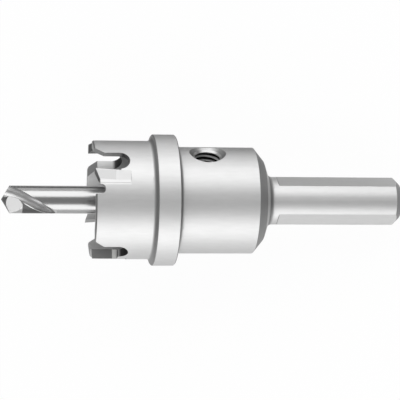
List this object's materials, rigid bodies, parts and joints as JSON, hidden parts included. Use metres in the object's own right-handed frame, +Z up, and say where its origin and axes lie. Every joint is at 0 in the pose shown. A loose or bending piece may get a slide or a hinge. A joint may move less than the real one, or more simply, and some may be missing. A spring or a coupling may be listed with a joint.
{
  "type": "hole saw",
  "caption": "Short carbide-tipped hole saw: toothed cup with stop collar, hub and flatted round shank, and a twist pilot drill held by a sunk screw.",
  "frame": {"origin": "middle of the bounding box, on the table under the tool", "axes": "+X from the drill point to the shank along the lying tool, +Z up; the tool's own axis dips 8.7 degrees below +X. It lies on its round collar and hub here, so it can roll; in use the chuck holds it by the shank"},
  "size_m": [0.0832, 0.0272, 0.0282],
  "materials": {
    "turned_steel": "finely turned, satin",
    "ground_tool_steel": "ground bright",
    "black_screw_steel": "black oxide",
    "tungsten_carbide": "ground, dark grey"
  },
  "bodies": {
    "root": {"cutter_body": "turned_steel", "pilot_drill": "ground_tool_steel", "clamping_screw": "black_screw_steel", "carbide_tip_1": "tungsten_carbide", "carbide_tip_2": "tungsten_carbide", "carbide_tip_3": "tungsten_carbide", "carbide_tip_4": "tungsten_carbide"}
  },
  "joints": []
}
